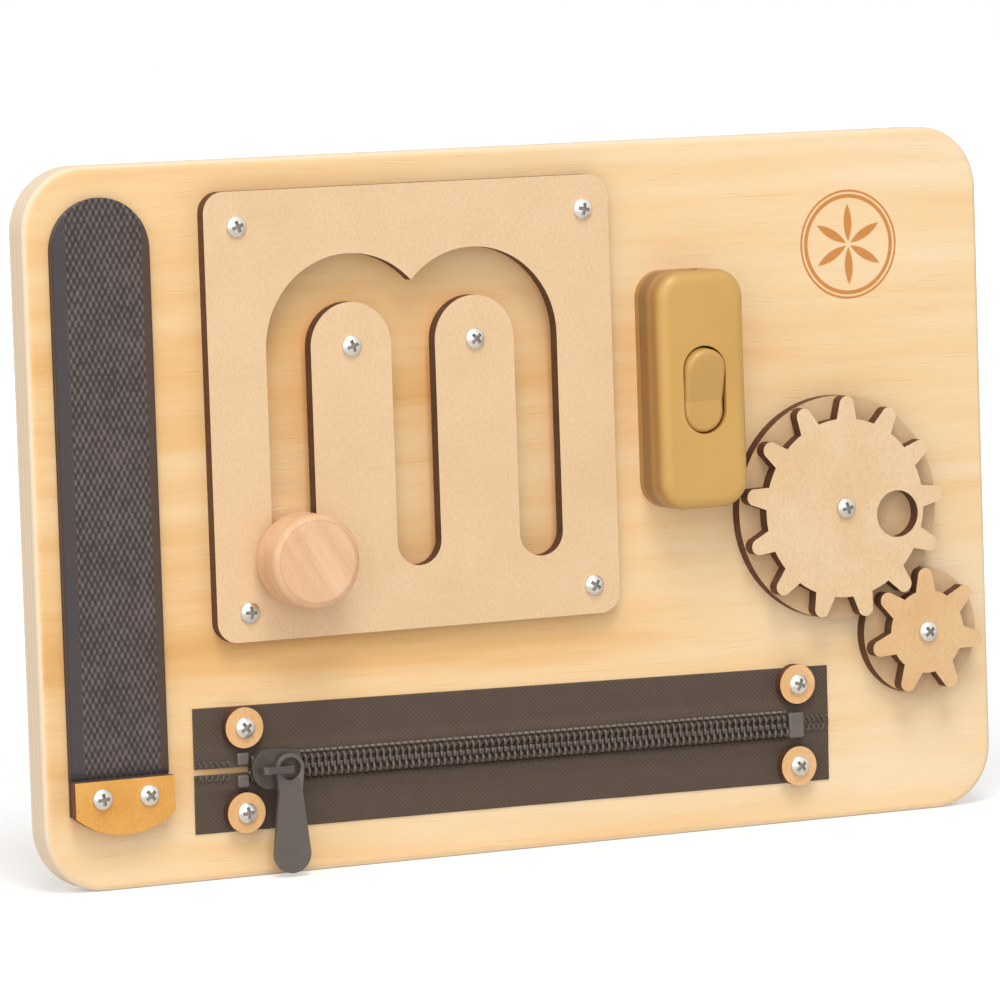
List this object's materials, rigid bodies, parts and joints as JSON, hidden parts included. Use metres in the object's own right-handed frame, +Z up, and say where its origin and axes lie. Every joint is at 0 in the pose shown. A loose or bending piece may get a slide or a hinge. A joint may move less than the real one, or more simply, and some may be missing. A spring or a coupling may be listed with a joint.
{
  "type": "wooden busy board",
  "caption": "Wooden busy board that stands on its long edge, with a hook-and-loop strap, a knob in an m-shaped track, a rocker switch, meshing gears and a zipper.",
  "frame": {"origin": "middle of the flat bottom edge that the board stands on, half way through its thickness", "axes": "+X to the right along the standing edge seen from the front, +Y out of the plain back, +Z up"},
  "size_m": [0.3, 0.0315, 0.2],
  "materials": {
    "plywood": "pale plywood, sanded and unvarnished, with an even yellow grain",
    "mdf": "fibreboard, laser cut, with dark burnt edges",
    "stained_mdf": "fibreboard stained amber, with dark cut edges",
    "beech": "turned beech, bare and smooth",
    "screws": "zinc-plated steel",
    "switch_plastic": "mustard gold plastic, satin",
    "brass": "plain brass strip",
    "nylon": "thin white nylon",
    "webbing": "dark grey woven hook-and-loop tape",
    "zip_tape": "dark brown herringbone tape",
    "zip_coil": "dark brown nylon coil",
    "zip_metal": "dark grey enamelled zinc"
  },
  "bodies": {
    "board": {"board": "plywood", "track_panel": "mdf", "panel_screws": "screws", "switch_base": "switch_plastic", "switch_cover": "switch_plastic", "rocker_pin": "screws", "contact_leaf": "brass", "switch_terminals": "brass", "cover_screws": "screws", "switch_screws": "screws", "gear_base": "mdf", "gear_spacers": "nylon", "gear_bushes": "screws", "gear_screws": "screws", "hook_strip": "webbing", "strap_tail": "webbing", "clamp_plate": "stained_mdf", "clamp_screws": "screws", "zip_tape_upper": "zip_tape", "zip_tape_lower": "zip_tape", "zip_coil_upper": "zip_coil", "zip_coil_lower": "zip_coil", "zip_top_stops": "zip_metal", "zip_bottom_stop": "zip_metal", "zip_washers": "stained_mdf", "zip_screws": "screws"},
    "glide": {"glide_disc": "plywood"},
    "knob": {"knob": "beech", "knob_screw": "screws"},
    "big_gear": {"big_gear": "mdf"},
    "small_gear": {"small_gear": "mdf"},
    "slider": {"zip_slider": "zip_metal"},
    "pull": {"zip_pull": "zip_metal"},
    "rocker": {"switch_rocker": "switch_plastic"},
    "strap": {"loop_strap": "webbing"}
  },
  "joints": [
    {"name": "knob_slide", "type": "slide", "parent": "board", "child": "glide", "axis": [0, 0, 1], "range_m": [0, 0.058]},
    {"name": "knob_spin", "type": "hinge", "parent": "glide", "child": "knob", "pos_m": [-0.07401, -0.006, 0.0885], "axis": [0, -1, 0], "continuous": true},
    {"name": "big_gear_spin", "type": "hinge", "parent": "board", "child": "big_gear", "pos_m": [0.09839, -0.0105, 0.0913], "axis": [0, -1, 0], "continuous": true},
    {"name": "small_gear_spin", "type": "hinge", "parent": "board", "child": "small_gear", "pos_m": [0.12451, -0.0105, 0.05344], "axis": [0, -1, 0], "continuous": true},
    {"name": "zip_slide", "type": "slide", "parent": "board", "child": "slider", "axis": [1, 0, -0.0096], "range_m": [0, 0.155], "deforming": ["zip_coil_upper", "zip_coil_lower"]},
    {"name": "pull_swing", "type": "hinge", "parent": "slider", "child": "pull", "pos_m": [-0.07961, -0.0131, 0.03041], "axis": [0, -1, 0], "range_deg": [-45, 90]},
    {"name": "rocker_tilt", "type": "hinge", "parent": "board", "child": "rocker", "pos_m": [0.05029, -0.0182, 0.1287], "axis": [1, 0, 0], "range_deg": [-14, 0]},
    {"name": "strap_peel", "type": "hinge", "parent": "board", "child": "strap", "pos_m": [-0.12836, -0.0084, 0.0317], "axis": [1, 0, 0], "range_deg": [0, 90]}
  ],
  "couplings": [
    {"joint": "small_gear_spin", "follows": "big_gear_spin", "ratio": -1.8571}
  ]
}
